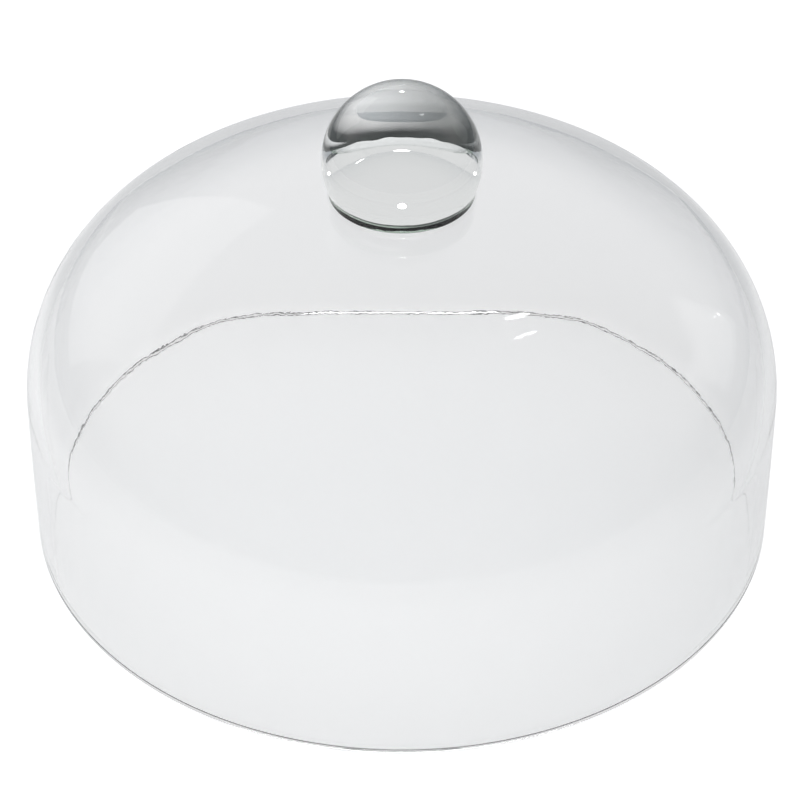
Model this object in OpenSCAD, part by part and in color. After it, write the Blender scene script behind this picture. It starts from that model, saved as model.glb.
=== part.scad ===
// Clear glass food cover: a dome, thickest at its crown, with a solid ball knob bonded on top.
// Millimetres, +Z up. The origin is the centre of the rim, on the surface that the cover stands on.

/* [Dome] */
// Widest outside diameter of the dome
dome_d = 300; // [240:1:360]
// How far the rim is drawn in from the widest ring, on each side
rim_draw = 0.5; // [0.2:0.1:6]
// Height of the widest ring above the rim
widest_h = 64; // [40:1:90]
// Outside radius of the shoulder that turns the wall into the crown
shoulder_r = 67; // [50:1:85]
// Rise of the crown above the top of the shoulder's round
crown_rise = 27; // [15:1:45]

/* [Glass] */
// Thickness of the glass in the wall, the shoulder and the rim
wall_t = 5; // [3:0.1:6]
// Thickness of the glass at the middle of the crown
crown_t = 9; // [7:0.1:14]
// Radius from the axis inside which the crown thickens
gather_r = 90; // [70:1:110]
// Radius of the fire-polished corners of the rim
rim_round = 0.9; // [0.3:0.1:1.4]

/* [Knob] */
// Diameter of the ball
ball_d = 62; // [50:1:75]
// Height of the ball's centre above its flat foot
ball_lift = 11.4; // [8:0.1:20]
// Radius of the rounding between the ball and its foot
foot_round = 0.4; // [0.2:0.1:2]

/* [Bond] */
// Height of the ring of clear resin that beds the knob on the crown
bond_t = 2.6; // [0.5:0.1:4]
// Width of that ring, from its outside to the air pocket inside it
bond_w = 6; // [2:0.1:8]
// How far the ring stops short of the edge of the knob's foot
bond_inset = 0.1; // [0.1:0.1:2]
// How far the ground seat reaches past the edge of the knob's foot
seat_margin = 0.8; // [0.5:0.1:4]

/* [Hidden] */
$fn = 128;

// Steps along each round stretch of an outline
wall_steps = 24;
shoulder_steps = 24;
crown_steps = 20;
corner_steps = 6;
ball_steps = 36;

// Outline of the dome: a long arc for the wall, a round shoulder and a spherical crown, all tangent
widest_r = dome_d / 2;
rim_r = widest_r - rim_draw;
wall_h = widest_h - rim_round;
wall_arc_r = (wall_h * wall_h + rim_draw * rim_draw) / (2 * rim_draw);
wall_lean = asin(wall_h / wall_arc_r);
shoulder_x = widest_r - shoulder_r;
crown_h = widest_h + shoulder_r + crown_rise;
crown_arc_r = (shoulder_x * shoulder_x + 2 * shoulder_r * crown_rise + crown_rise * crown_rise)
    / (2 * crown_rise);
crown_centre_z = crown_h - crown_arc_r;
crown_join = atan2(widest_h - crown_centre_z, shoulder_x);

// Outline of the knob: a ball cut flat below its centre, with a rounded edge to its foot
ball_r = ball_d / 2;
foot_round_r = ball_r - foot_round;
foot_round_drop = ball_lift - foot_round;
foot_r = sqrt(foot_round_r * foot_round_r - foot_round_drop * foot_round_drop);
foot_join = asin(foot_round_drop / foot_round_r);

// The seat is a flat ground on the crown, and everything on the knob stacks up from it
seat_r = foot_r + seat_margin;
seat_angle = acos(seat_r / crown_arc_r);
seat_z = crown_centre_z + crown_arc_r * sin(seat_angle);
foot_z = seat_z + bond_t;
bond_r = foot_r - bond_inset;
pocket_r = bond_r - bond_w;

// Unit vector at an angle above the horizontal
function ray(angle) = [cos(angle), sin(angle)];

// Angles from first to last in equal steps
function sweep(first, last, steps) = [for (i = [0 : steps]) first + (last - first) * i / steps];

// Points of an arc
function arc(centre, radius, angles) = [for (a = angles) centre + radius * ray(a)];

// Thickness of the glass at a point of the outline: it swells smoothly to the crown's middle
function glass_t(point) =
    let (crown_share = min(point[0] / gather_r, 1))
    wall_t + (crown_t - wall_t) * pow(1 - crown_share * crown_share, 2);

// Points of an arc moved inwards by the thickness of the glass there
function inside_arc(centre, radius, angles) =
    [for (a = angles)
        let (outer = centre + radius * ray(a))
        outer - glass_t(outer) * ray(a)];

wall_centre = [widest_r - wall_arc_r, widest_h];
shoulder_centre = [shoulder_x, widest_h];
crown_centre = [0, crown_centre_z];
wall_angles = sweep(-wall_lean, 0, wall_steps);
shoulder_angles = sweep(0, crown_join, shoulder_steps);
crown_outer_angles = sweep(crown_join, seat_angle, crown_steps);
crown_inner_angles = sweep(crown_join, 90, crown_steps);
rim_outer_centre = [rim_r - rim_round, rim_round];
rim_inner_centre = [rim_r - wall_t + rim_round, rim_round];

// A list without its first point, where that point closes the stretch before it
function rest_of(points) = [for (i = [1 : len(points) - 1]) points[i]];

// A list from its last point to its first
function backwards(points) = [for (i = [len(points) - 1 : -1 : 0]) points[i]];

dome_outside = concat(
    arc(rim_outer_centre, rim_round, sweep(-90, -wall_lean, corner_steps)),
    rest_of(arc(wall_centre, wall_arc_r, wall_angles)),
    rest_of(arc(shoulder_centre, shoulder_r, shoulder_angles)),
    rest_of(arc(crown_centre, crown_arc_r, crown_outer_angles)),
    [[0, seat_z]]);
dome_inside = concat(
    arc(rim_inner_centre, rim_round, sweep(270, 180 - wall_lean, corner_steps)),
    rest_of(inside_arc(wall_centre, wall_arc_r, wall_angles)),
    rest_of(inside_arc(shoulder_centre, shoulder_r, shoulder_angles)),
    rest_of(inside_arc(crown_centre, crown_arc_r, crown_inner_angles)));

// The glass dome: open below, thickest at its crown, with a flat seat ground on it for the knob
module dome_shell() {
    color([0.86, 0.9, 0.89, 0.35])
        rotate_extrude()
            polygon(concat(dome_outside, backwards(dome_inside)));
}

// The ring of clear resin that holds the knob to its seat, with a pocket of air inside it
module bond_ring() {
    color([0.93, 0.94, 0.92, 0.5])
        translate([0, 0, seat_z])
            rotate_extrude()
                polygon([[pocket_r, 0], [bond_r, 0], [bond_r, bond_t], [pocket_r, bond_t]]);
}

// The solid glass ball, standing on its flat foot
module ball_knob() {
    color([0.8, 0.86, 0.82, 0.45])
        translate([0, 0, foot_z])
            rotate_extrude()
                polygon(concat(
                    [[0, 0]],
                    arc([foot_r, foot_round], foot_round, sweep(-90, -foot_join, corner_steps)),
                    rest_of(arc([0, ball_lift], ball_r, sweep(-foot_join, 90, ball_steps)))));
}

dome_shell();
bond_ring();
ball_knob();
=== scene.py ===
import math

import bpy
import numpy as np
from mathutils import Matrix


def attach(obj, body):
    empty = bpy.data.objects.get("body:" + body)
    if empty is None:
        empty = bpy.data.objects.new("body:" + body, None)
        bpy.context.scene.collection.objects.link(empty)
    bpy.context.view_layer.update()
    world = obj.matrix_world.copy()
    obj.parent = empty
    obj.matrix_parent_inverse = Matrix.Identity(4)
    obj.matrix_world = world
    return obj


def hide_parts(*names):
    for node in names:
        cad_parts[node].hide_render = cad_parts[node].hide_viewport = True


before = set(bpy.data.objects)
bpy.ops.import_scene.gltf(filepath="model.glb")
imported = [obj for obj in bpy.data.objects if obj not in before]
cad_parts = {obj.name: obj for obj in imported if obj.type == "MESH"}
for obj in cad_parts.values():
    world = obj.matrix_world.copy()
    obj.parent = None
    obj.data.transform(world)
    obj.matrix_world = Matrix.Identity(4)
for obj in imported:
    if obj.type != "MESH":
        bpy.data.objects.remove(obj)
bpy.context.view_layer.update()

MM = 0.001
RIGHT_ANGLE = math.pi / 2

# Sizes of the cover, in metres, the same as in the part's source
WIDEST_R = 150 * MM
RIM_DRAW = 0.5 * MM
WIDEST_H = 64 * MM
SHOULDER_R = 67 * MM
CROWN_RISE = 27 * MM
WALL_T = 5 * MM
CROWN_T = 9 * MM
GATHER_R = 90 * MM
RIM_ROUND = 0.9 * MM
BALL_R = 31 * MM
BALL_LIFT = 11.4 * MM
FOOT_ROUND = 0.4 * MM
BOND_T = 2.6 * MM
BOND_INSET = 0.1 * MM
BOND_W = 6 * MM
SEAT_MARGIN = 0.8 * MM

# Arcs of the dome's outline, each tangent to the next
RIM_R = WIDEST_R - RIM_DRAW
WALL_H = WIDEST_H - RIM_ROUND
WALL_ARC_R = (WALL_H ** 2 + RIM_DRAW ** 2) / (2 * RIM_DRAW)
WALL_LEAN = math.asin(WALL_H / WALL_ARC_R)
SHOULDER_X = WIDEST_R - SHOULDER_R
CROWN_H = WIDEST_H + SHOULDER_R + CROWN_RISE
CROWN_ARC_R = (SHOULDER_X ** 2 + 2 * SHOULDER_R * CROWN_RISE + CROWN_RISE ** 2) / (2 * CROWN_RISE)
CROWN_CENTRE_Z = CROWN_H - CROWN_ARC_R
CROWN_JOIN = math.atan2(WIDEST_H - CROWN_CENTRE_Z, SHOULDER_X)

# The knob's foot and the ground seat under it
FOOT_R = math.sqrt((BALL_R - FOOT_ROUND) ** 2 - (BALL_LIFT - FOOT_ROUND) ** 2)
FOOT_JOIN = math.asin((BALL_LIFT - FOOT_ROUND) / (BALL_R - FOOT_ROUND))
BOND_R = FOOT_R - BOND_INSET
POCKET_R = BOND_R - BOND_W
SEAT_R = FOOT_R + SEAT_MARGIN
SEAT_ANGLE = math.acos(SEAT_R / CROWN_ARC_R)
SEAT_Z = CROWN_CENTRE_Z + CROWN_ARC_R * math.sin(SEAT_ANGLE)
FOOT_Z = SEAT_Z + BOND_T

# The resin: its clearance to the glass, the width of the painted shade along its pocket, the length over
# which that fades and by which its border wanders, and the sides between which the painted shade deepens
RESIN_CLEAR = 0.01 * MM
SHADE_BAND_W = 1.2 * MM
SHADE_FADE = 2.8 * MM
SHADE_WANDER = 2.4 * MM
SHADE_CLOUD = 160.0
SHADE_CLOUD_DETAIL = 2.0
LIGHT_SIDE_X = -BOND_R * 0.24
SHADED_SIDE_X = BOND_R * 0.22

# Waves of the pocket's edge: their height, and each sine's share, count and phase
POCKET_WAVE = 0.4 * MM
WAVES = ((0.5, 9, 0.4), (0.3, 23, 1.3), (0.2, 41, 2.1))

# Glass: how fine each ripple is and how high, and the heights between which the ripples fade out
GLASS_IOR = 1.5
BONDED_IOR = 1.001
SLOW_RIPPLE = (38.0, 0.09 * MM)
FAST_RIPPLE = (330.0, 0.007 * MM)
BALL_RIPPLE = (45.0, 0.02 * MM)
RIPPLE_DETAIL = 1.5
CALM_LOW = 45 * MM
CALM_HIGH = 95 * MM

# Steps round the axis, and points along each stretch of an outline
TURNS = 360
POCKET_STEPS = 10
RING_STEPS = 4
LEDGE_STEPS = 6
CROWN_STEPS = 28
SHOULDER_STEPS = 40
WALL_STEPS = 20
CORNER_STEPS = 9
INSIDE_STEPS = 40
BALL_STEPS = 120
EDGE_STEPS = 16
FOOT_STEPS = 3
SHARP_ANGLE = math.radians(40)

# Places of the sockets on a node that mixes two colours
MIX_LOW, MIX_HIGH, MIX_OUT = 6, 7, 2


def arc(centre, radius, first, last, steps):
    """Points of an arc: centre plus radius times (cos a, sin a), for equal steps of a from first to last."""
    a = np.linspace(first, last, steps)
    return np.stack([centre[0] + radius * np.cos(a), centre[1] + radius * np.sin(a)], axis=1)


def flat_row(first, last, z, steps):
    """Points at height z, in equal steps of the radius from first to last."""
    return np.stack([np.linspace(first, last, steps), np.full(steps, z)], axis=1)


def glass_depth(r):
    """Thickness of the dome's glass at distance r from the axis: the wall's, plus a swelling
    (1 - (r / gather)^2)^2 that brings it up to the crown's."""
    crown_share = np.minimum(r / GATHER_R, 1.0)
    return WALL_T + (CROWN_T - WALL_T) * (1 - crown_share ** 2) ** 2


def inside_arc(centre, radius, first, last, steps):
    """Points of an arc moved towards its centre by the glass's thickness at each point."""
    a = np.linspace(first, last, steps)
    outer = arc(centre, radius, first, last, steps)
    return outer - glass_depth(outer[:, 0])[:, None] * np.stack([np.cos(a), np.sin(a)], axis=1)


def pocket_wave(t):
    """How far the resin's inner edge strays from its circle at angle t: three sines of whole turns."""
    return POCKET_WAVE * sum(share * np.sin(count * t + phase) for share, count, phase in WAVES)


def turned_points(outline):
    """Points of an outline carried round Z: (r, z) goes to (r cos t, r sin t, z), and a ring at the pocket's
    edge follows the resin's wave."""
    t = np.linspace(0, 2 * np.pi, TURNS, endpoint=False)
    r = outline[:, 0, None]
    reach = r + (r == POCKET_R) * pocket_wave(t)
    z = np.repeat(outline[:, 1, None], TURNS, axis=1)
    return np.stack([reach * np.cos(t), reach * np.sin(t), z], axis=2).reshape(-1, 3)


def turned_piece(name, profile, bonded):
    """A closed body turned about Z. The profile starts and ends on the axis, with its outside on the left as
    it runs. Faces between the profile's points in the bonded range take the second material."""
    rings = profile[1:-1]
    poles = np.array([[0, 0, profile[0, 1]], [0, 0, profile[-1, 1]]])
    points = np.vstack([turned_points(rings), poles])
    count = len(rings)
    i, j = np.meshgrid(np.arange(count - 1), np.arange(TURNS), indexing="ij")
    k = (j + 1) % TURNS
    quads = np.stack([i * TURNS + j, (i + 1) * TURNS + j, (i + 1) * TURNS + k, i * TURNS + k], axis=2)
    j = np.arange(TURNS)
    k = (j + 1) % TURNS
    base = (count - 1) * TURNS
    first = np.stack([np.full(TURNS, count * TURNS), j, k], axis=1)
    last = np.stack([np.full(TURNS, count * TURNS + 1), base + k, base + j], axis=1)
    corners = np.concatenate([quads.ravel(), first.ravel(), last.ravel()])
    sizes = np.concatenate([np.full((count - 1) * TURNS, 4), np.full(2 * TURNS, 3)])
    starts = np.concatenate([[0], np.cumsum(sizes)[:-1]])
    row = np.concatenate([np.repeat(np.arange(1, count), TURNS), np.zeros(TURNS), np.full(TURNS, count)])
    slot = (row >= bonded[0]) & (row < bonded[1])
    mesh = bpy.data.meshes.new(name)
    mesh.vertices.add(len(points))
    mesh.vertices.foreach_set("co", points.ravel())
    mesh.loops.add(len(corners))
    mesh.loops.foreach_set("vertex_index", corners.astype(np.int32))
    mesh.polygons.add(len(sizes))
    mesh.polygons.foreach_set("loop_start", starts.astype(np.int32))
    mesh.polygons.foreach_set("material_index", slot.astype(np.int32))
    mesh.update(calc_edges=True)
    mesh.validate()
    mesh.polygons.foreach_set("use_smooth", np.ones(len(mesh.polygons), dtype=bool))
    piece = bpy.data.objects.new(name, mesh)
    bpy.context.scene.collection.objects.link(piece)
    return piece


def bond_ring_piece(name):
    """The ring of resin: a flat rectangle, from the pocket's wavy edge to the bond radius and between the two
    glass faces, carried round Z. Its walls take the second material and its lower face the third."""
    low, high = SEAT_Z + RESIN_CLEAR, FOOT_Z - RESIN_CLEAR
    loop = np.array([[POCKET_R, high], [BOND_R, high], [BOND_R, low], [POCKET_R, low]])
    sides = len(loop)
    i, j = np.meshgrid(np.arange(sides), np.arange(TURNS), indexing="ij")
    n, k = (i + 1) % sides, (j + 1) % TURNS
    faces = np.stack([i * TURNS + j, n * TURNS + j, n * TURNS + k, i * TURNS + k], axis=2).reshape(-1, 4)
    mesh = bpy.data.meshes.new(name)
    mesh.from_pydata(turned_points(loop).tolist(), [], faces.tolist())
    mesh.polygons.foreach_set("material_index", np.repeat(np.array([0, 1, 2, 1], dtype=np.int32), TURNS))
    mesh.polygons.foreach_set("use_smooth", np.ones(len(faces), dtype=bool))
    mesh.set_sharp_from_angle(angle=SHARP_ANGLE)
    piece = bpy.data.objects.new(name, mesh)
    bpy.context.scene.collection.objects.link(piece)
    return piece


def dome_profile():
    """Outline of the dome's glass from the middle of the seat, out over crown, shoulder and wall, round
    the fire-polished rim, and back up inside to the axis. Also the range of rows under the resin."""
    pocket = flat_row(0, POCKET_R, SEAT_Z, POCKET_STEPS)
    ring = flat_row(POCKET_R, BOND_R, SEAT_Z, RING_STEPS)[1:]
    ledge = flat_row(BOND_R, SEAT_R, SEAT_Z, LEDGE_STEPS)[1:]
    crown_c, shoulder_c = (0, CROWN_CENTRE_Z), (SHOULDER_X, WIDEST_H)
    wall_c = (WIDEST_R - WALL_ARC_R, WIDEST_H)
    outer_c, inner_c = (RIM_R - RIM_ROUND, RIM_ROUND), (RIM_R - WALL_T + RIM_ROUND, RIM_ROUND)
    outside = np.vstack([
        arc(crown_c, CROWN_ARC_R, SEAT_ANGLE, CROWN_JOIN, CROWN_STEPS)[1:],
        arc(shoulder_c, SHOULDER_R, CROWN_JOIN, 0, SHOULDER_STEPS)[1:],
        arc(wall_c, WALL_ARC_R, 0, -WALL_LEAN, WALL_STEPS)[1:-1]])
    rim = np.vstack([
        arc(outer_c, RIM_ROUND, -WALL_LEAN, -RIGHT_ANGLE, CORNER_STEPS),
        arc(inner_c, RIM_ROUND, -RIGHT_ANGLE, WALL_LEAN - 2 * RIGHT_ANGLE, CORNER_STEPS)])
    inside = np.vstack([
        inside_arc(wall_c, WALL_ARC_R, -WALL_LEAN, 0, INSIDE_STEPS)[1:],
        inside_arc(shoulder_c, SHOULDER_R, 0, CROWN_JOIN, INSIDE_STEPS)[1:],
        inside_arc(crown_c, CROWN_ARC_R, CROWN_JOIN, RIGHT_ANGLE, INSIDE_STEPS)[1:]])
    inside[-1, 0] = 0
    before = len(pocket) - 1
    return np.vstack([pocket, ring, ledge, outside, rim, inside]), (before, before + len(ring))


def ball_profile():
    """Outline of the knob from the top of the ball, round its side and the rounding under it, to the
    middle of the flat foot. Also the range of rows over the resin."""
    ball = arc((0, FOOT_Z + BALL_LIFT), BALL_R, RIGHT_ANGLE, -FOOT_JOIN, BALL_STEPS)
    ball[0, 0] = 0
    edge = arc((FOOT_R, FOOT_Z + FOOT_ROUND), FOOT_ROUND, -FOOT_JOIN, -RIGHT_ANGLE, EDGE_STEPS)[1:]
    foot = flat_row(FOOT_R, BOND_R, FOOT_Z, FOOT_STEPS)[1:]
    ring = flat_row(BOND_R, POCKET_R, FOOT_Z, RING_STEPS)[1:]
    pocket = flat_row(POCKET_R, 0, FOOT_Z, POCKET_STEPS)[1:]
    before = len(ball) + len(edge) + len(foot) - 1
    return np.vstack([ball, edge, foot, ring, pocket]), (before, before + len(ring))


def empty_tree(holder):
    """The node tree of a material or world, with nothing in it."""
    holder.use_nodes = True
    holder.node_tree.nodes.clear()
    return holder.node_tree


def feed(tree, socket, value):
    """Gives a socket its value: a fixed one, or another socket's."""
    if isinstance(value, bpy.types.NodeSocket):
        tree.links.new(value, socket)
    else:
        socket.default_value = value


def number(tree, operation, *values):
    """The result of one step of arithmetic."""
    node = tree.nodes.new("ShaderNodeMath")
    node.operation = operation
    for socket, value in zip(node.inputs, values):
        feed(tree, socket, value)
    return node.outputs[0]


def on_vector(tree, operation, *values):
    """A node for one step of arithmetic on vectors."""
    node = tree.nodes.new("ShaderNodeVectorMath")
    node.operation = operation
    for socket, value in zip(node.inputs, values):
        feed(tree, socket, value)
    return node


def smooth_rise(tree, value, low, high, least=0.0):
    """A share that goes smoothly from least, where value is at low, up to one, where it is at high."""
    node = tree.nodes.new("ShaderNodeMapRange")
    node.interpolation_type = "SMOOTHSTEP"
    node.inputs["From Min"].default_value = low
    node.inputs["From Max"].default_value = high
    node.inputs["To Min"].default_value = least
    tree.links.new(value, node.inputs["Value"])
    return node.outputs["Result"]


def tone_mix(tree, share, low, high):
    """A colour that goes from low to high with share."""
    node = tree.nodes.new("ShaderNodeMix")
    node.data_type = "RGBA"
    tree.links.new(share, node.inputs[0])
    feed(tree, node.inputs[MIX_LOW], low)
    feed(tree, node.inputs[MIX_HIGH], high)
    return node.outputs[MIX_OUT]


def axes_of(tree, place):
    """The three axes of a place, as sockets by name."""
    node = tree.nodes.new("ShaderNodeSeparateXYZ")
    tree.links.new(place, node.inputs[0])
    return node.outputs


def make_clear(glass, tint, ior):
    """Sets a surface to clear and smooth, with its tint and index."""
    glass.inputs["Base Color"].default_value = (*tint, 1)
    glass.inputs["Roughness"].default_value = 0.0
    glass.inputs["IOR"].default_value = ior
    glass.inputs["Transmission Weight"].default_value = 1.0


def clear_glass(name, tint, shade, *ripples):
    """Clear glass: light bends at the surface, and ripples, as blown glass has, turn the normal a little,
    less and less down the wall to the mould-true rim. Rays towards a lamp go through with a slight loss, so
    the glass casts a pale shadow."""
    material = bpy.data.materials.new(name)
    tree = empty_tree(material)
    out = tree.nodes.new("ShaderNodeOutputMaterial")
    glass = tree.nodes.new("ShaderNodeBsdfPrincipled")
    make_clear(glass, tint, GLASS_IOR)
    through = tree.nodes.new("ShaderNodeBsdfTransparent")
    through.inputs["Color"].default_value = (*shade, 1)
    path = tree.nodes.new("ShaderNodeLightPath")
    mix = tree.nodes.new("ShaderNodeMixShader")
    tree.links.new(path.outputs["Is Shadow Ray"], mix.inputs[0])
    tree.links.new(glass.outputs["BSDF"], mix.inputs[1])
    tree.links.new(through.outputs["BSDF"], mix.inputs[2])
    tree.links.new(mix.outputs["Shader"], out.inputs["Surface"])
    place = tree.nodes.new("ShaderNodeTexCoord").outputs["Object"]
    calm = smooth_rise(tree, axes_of(tree, place)["Z"], CALM_LOW, CALM_HIGH)
    normal = None
    for scale, height in ripples:
        ripple = tree.nodes.new("ShaderNodeTexNoise")
        ripple.inputs["Scale"].default_value = scale
        ripple.inputs["Detail"].default_value = RIPPLE_DETAIL
        bump = tree.nodes.new("ShaderNodeBump")
        bump.inputs["Distance"].default_value = height
        tree.links.new(place, ripple.inputs["Vector"])
        tree.links.new(ripple.outputs["Fac"], bump.inputs["Height"])
        tree.links.new(calm, bump.inputs["Strength"])
        if normal is not None:
            tree.links.new(normal, bump.inputs["Normal"])
        normal = bump.outputs["Normal"]
    tree.links.new(normal, glass.inputs["Normal"])
    return material


def bonded_face(name, tint):
    """The face where glass meets resin of the same index: light crosses it without bending."""
    material = bpy.data.materials.new(name)
    material.use_nodes = True
    make_clear(material.node_tree.nodes["Principled BSDF"], tint, BONDED_IOR)
    return material


def resin_with_painted_shade(name, pocket_shade, shaded_side, light_side):
    """Resin bonded to glass above and below, with painted shade: dark along the pocket and paler outwards,
    with a border that wanders by a slow noise, and darker towards one side."""
    material = bonded_face(name, light_side)
    tree = material.node_tree
    place = tree.nodes.new("ShaderNodeTexCoord").outputs["Object"]
    level = on_vector(tree, "MULTIPLY", place, (1, 1, 0)).outputs["Vector"]
    from_axis = on_vector(tree, "LENGTH", level).outputs["Value"]
    cloud = tree.nodes.new("ShaderNodeTexNoise")
    cloud.inputs["Scale"].default_value = SHADE_CLOUD
    cloud.inputs["Detail"].default_value = SHADE_CLOUD_DETAIL
    tree.links.new(place, cloud.inputs["Vector"])
    # Painted shade: near black along the pocket, fading outwards to the side tones, and darker towards +X
    border = number(tree, "MULTIPLY_ADD", cloud.outputs["Fac"], SHADE_WANDER, from_axis)
    shade_r = POCKET_R + SHADE_WANDER / 2 + SHADE_BAND_W
    outwards = smooth_rise(tree, border, shade_r, shade_r + SHADE_FADE)
    side_shade = smooth_rise(tree, axes_of(tree, place)["X"], LIGHT_SIDE_X, SHADED_SIDE_X)
    pale = tone_mix(tree, side_shade, (*light_side, 1), (*shaded_side, 1))
    tone = tone_mix(tree, outwards, (*pocket_shade, 1), pale)
    tree.links.new(tone, tree.nodes["Principled BSDF"].inputs["Base Color"])
    return material


dome_glass = clear_glass("dome_glass", (0.985, 0.985, 0.985), (0.96, 0.965, 0.965), SLOW_RIPPLE, FAST_RIPPLE)
ball_glass = clear_glass("ball_glass", (0.955, 0.97, 0.96), (0.9, 0.92, 0.9), BALL_RIPPLE)
contact = bonded_face("bonded_face", (1, 1, 1))
# The resin's tone is painted shade that darkens the view down through the ball
resin = resin_with_painted_shade("bond_resin", (0.006, 0.007, 0.0065), (0.1, 0.108, 0.105), (0.97, 0.98, 0.975))
resin_wall = clear_glass("resin_wall", (0.26, 0.37, 0.28), (0.9, 0.92, 0.9), BALL_RIPPLE)

profile, bonded = dome_profile()
dome = turned_piece("glass_dome", profile, bonded)
dome.data.materials.append(dome_glass)
dome.data.materials.append(contact)
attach(dome, "root")
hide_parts("dome_shell")

profile, bonded = ball_profile()
ball = turned_piece("glass_ball", profile, bonded)
ball.data.materials.append(ball_glass)
ball.data.materials.append(contact)
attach(ball, "root")
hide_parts("ball_knob")

resin_ring = bond_ring_piece("resin_ring")
resin_ring.data.materials.append(resin)
resin_ring.data.materials.append(resin_wall)
resin_ring.data.materials.append(contact)
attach(resin_ring, "root")
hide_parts("bond_ring")

# Floor: a pale round sweep that keeps the cover's soft shadow. It glows white to the camera. In the glass it
# glows less, a painted light that falls off outwards and to the back right, with painted contact shadows
# under the rim's rounded corners.
FLOOR_R = 0.75
FLOOR_SIDES = 96
FLOOR_DROP = 0.2 * MM
FLOOR_MATT = 0.8
CAMERA_GLOW = 0.7
GLASS_GLOW = 0.417
GLOW_SLOPE = -0.25
GLOW_WAY = (1, 0.8, 0)
GLOW_NEAR = 1.0
GLOW_FAR = 0.5
GLOW_LEVELS = ((0.2, 1.0), (0.212, 0.84), (0.35, 0.9), (0.5, 0.5))
CONTACT_SHADE_LOW = 0.2 * MM
CONTACT_SHADE_HIGH = 0.7 * MM
CONTACT_SHADE_DARK = 0.1

t = np.linspace(0, 2 * np.pi, FLOOR_SIDES, endpoint=False)
edge = np.stack([FLOOR_R * np.cos(t), FLOOR_R * np.sin(t), np.full(FLOOR_SIDES, -FLOOR_DROP)], axis=1)
floor_mesh = bpy.data.meshes.new("floor")
floor_mesh.from_pydata(edge.tolist(), [], [list(range(FLOOR_SIDES))])
floor = bpy.data.objects.new("floor", floor_mesh)
bpy.context.scene.collection.objects.link(floor)
floor_paint = bpy.data.materials.new("floor_paint")
floor_mesh.materials.append(floor_paint)
tree = empty_tree(floor_paint)
path = tree.nodes.new("ShaderNodeLightPath").outputs
place = tree.nodes.new("ShaderNodeTexCoord").outputs["Object"]
reach = on_vector(tree, "LENGTH", place).outputs["Value"]
slant = on_vector(tree, "DOT_PRODUCT", place, GLOW_WAY).outputs["Value"]
# Painted light: the glow seen in the glass falls off outwards from the cover and towards the back right
falloff = tree.nodes.new("ShaderNodeValToRGB")
falloff.color_ramp.interpolation = "EASE"
falloff.color_ramp.elements[0].color = (GLOW_NEAR, GLOW_NEAR, GLOW_NEAR, 1)
falloff.color_ramp.elements[1].color = (GLOW_FAR, GLOW_FAR, GLOW_FAR, 1)
for at, level in GLOW_LEVELS:
    falloff.color_ramp.elements.new(at).color = (level, level, level, 1)
tree.links.new(number(tree, "DIVIDE", reach, FLOOR_R), falloff.inputs["Fac"])
# Painted contact shadow: thin dark rings under the rim's two rounded corners, in the glow seen in the glass
# and in the matt colour
foot_side = number(tree, "ABSOLUTE", number(tree, "SUBTRACT", reach, RIM_R - WALL_T / 2))
corner_side = number(tree, "ABSOLUTE", number(tree, "SUBTRACT", foot_side, WALL_T / 2 - RIM_ROUND))
contact_shade = smooth_rise(tree, corner_side, CONTACT_SHADE_LOW, CONTACT_SHADE_HIGH, CONTACT_SHADE_DARK)
glass_level = number(tree, "MULTIPLY", number(tree, "MULTIPLY_ADD", slant, GLOW_SLOPE, GLASS_GLOW),
                     number(tree, "MULTIPLY", contact_shade, falloff.outputs["Color"]))
in_glass = number(tree, "MAXIMUM", path["Is Transmission Ray"], path["Is Glossy Ray"])
glow_level = number(tree, "MAXIMUM", number(tree, "MULTIPLY", in_glass, glass_level),
                    number(tree, "MULTIPLY", path["Is Camera Ray"], CAMERA_GLOW))
floor_matt = tree.nodes.new("ShaderNodeBsdfDiffuse")
floor_glow = tree.nodes.new("ShaderNodeEmission")
both = tree.nodes.new("ShaderNodeAddShader")
floor_out = tree.nodes.new("ShaderNodeOutputMaterial")
# The matt colour carries the same painted contact shadow
tree.links.new(number(tree, "MULTIPLY", contact_shade, FLOOR_MATT), floor_matt.inputs["Color"])
tree.links.new(glow_level, floor_glow.inputs["Strength"])
tree.links.new(floor_matt.outputs[0], both.inputs[0])
tree.links.new(floor_glow.outputs[0], both.inputs[1])
tree.links.new(both.outputs[0], floor_out.inputs["Surface"])

# World: a pale room, greyer low down and in front, a little brighter in reflections, and white where the
# camera sees it
ROOM_GREY = (0.31, 0.335, 0.36, 1)
ROOM_PALE = (0.755, 0.755, 0.76, 1)
ROOM_LOW, ROOM_HIGH = 0.02, 0.4
ROOM_FRONT, ROOM_BACK = -0.5, 0.3
REFRACTED_LIFT = 0.55
MIRRORED_GAIN = 0.32
world = bpy.data.worlds.new("room")
bpy.context.scene.world = world
tree = empty_tree(world)
path = tree.nodes.new("ShaderNodeLightPath").outputs
axes = axes_of(tree, tree.nodes.new("ShaderNodeTexCoord").outputs["Generated"])
height = number(tree, "MULTIPLY_ADD", path["Is Transmission Ray"], REFRACTED_LIFT, axes["Z"])
wall_share = number(tree, "MULTIPLY", smooth_rise(tree, height, ROOM_LOW, ROOM_HIGH),
                    smooth_rise(tree, axes["Y"], ROOM_FRONT, ROOM_BACK))
mirrored = number(tree, "SUBTRACT", path["Is Glossy Ray"], path["Is Transmission Ray"])
room_level = number(tree, "MULTIPLY_ADD", number(tree, "MULTIPLY", mirrored, wall_share), MIRRORED_GAIN, 1.0)
room = tree.nodes.new("ShaderNodeBackground")
white = tree.nodes.new("ShaderNodeBackground")
white.inputs["Color"].default_value = (1, 1, 1, 1)
white.inputs["Strength"].default_value = 1.0
room_mix = tree.nodes.new("ShaderNodeMixShader")
world_out = tree.nodes.new("ShaderNodeOutputWorld")
tree.links.new(tone_mix(tree, wall_share, ROOM_GREY, ROOM_PALE), room.inputs["Color"])
tree.links.new(room_level, room.inputs["Strength"])
tree.links.new(path["Is Camera Ray"], room_mix.inputs[0])
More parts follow.
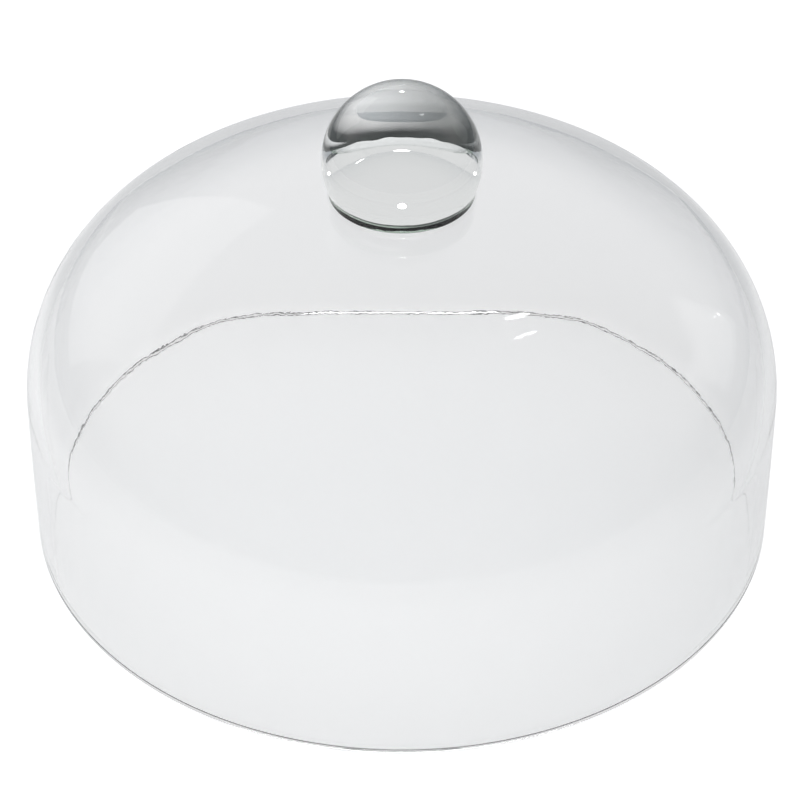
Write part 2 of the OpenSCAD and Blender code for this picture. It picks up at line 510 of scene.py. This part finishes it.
tree.links.new(room.outputs[0], room_mix.inputs[1])
tree.links.new(white.outputs[0], room_mix.inputs[2])
tree.links.new(room_mix.outputs[0], world_out.inputs["Surface"])

# Lamps: two windows and three small lamps, all facing the cover
LAMP_AIM = (0, 0, 0.1)


def soft_box(name, place, width, height, power, shape="RECTANGLE"):
    """A flat lamp at place, facing the cover."""
    lamp = bpy.data.lights.new(name, "AREA")
    lamp.shape = shape
    lamp.size = width
    lamp.size_y = height
    lamp.energy = power
    holder = bpy.data.objects.new(name, lamp)
    x, y, z = (LAMP_AIM[i] - place[i] for i in range(3))
    holder.location = place
    holder.rotation_euler = (math.atan2(math.hypot(x, y), -z), 0, math.atan2(y, x) - RIGHT_ANGLE)
    bpy.context.scene.collection.objects.link(holder)
    return holder


left_window = soft_box("left_window", (-1.6, 1.6, 0.9), 1.6, 1.5, 3.4)
left_window.visible_transmission = False
soft_box("right_window", (1.9, 1.1, 0.6), 0.8, 0.9, 0.7)
soft_box("top_lamp", (0.77, 0.55, 1.9), 0.04, 0.2, 0.2, "ELLIPSE")
soft_box("back_lamp", (0.0, 1.73, 1.25), 0.14, 0.1, 1.04, "ELLIPSE")
soft_box("right_lamp", (1.5, 1.2, 0.5), 0.025, 0.025, 0.06, "ELLIPSE")

# Camera at the photograph's angle: its picture has so many pixels to a millimetre where it aims
RANGE = 1400 * MM
LIFT = math.radians(38.78)
AIM_Z = 52.19 * MM
PIXELS_PER_MM = 2.4765
PICTURE_W = 800
SIDE_PIXELS = -1.8
SENSOR_W = 36
camera = bpy.data.cameras.new("camera")
camera.sensor_width = SENSOR_W
camera.lens = PIXELS_PER_MM * (RANGE / MM) / PICTURE_W * SENSOR_W
camera.clip_end = 50
eye = bpy.data.objects.new("camera", camera)
eye.location = (SIDE_PIXELS / PIXELS_PER_MM * MM, -RANGE * math.cos(LIFT), AIM_Z + RANGE * math.sin(LIFT))
eye.rotation_euler = (RIGHT_ANGLE - LIFT, 0, 0)
bpy.context.scene.collection.objects.link(eye)
bpy.context.scene.camera = eye
bpy.context.scene.view_settings.view_transform = "Standard"

# Light crosses and re-crosses the ball many times before it leaves
BOUNCES = 32
bpy.context.scene.cycles.max_bounces = BOUNCES
bpy.context.scene.cycles.glossy_bounces = BOUNCES
bpy.context.scene.cycles.transmission_bounces = BOUNCES
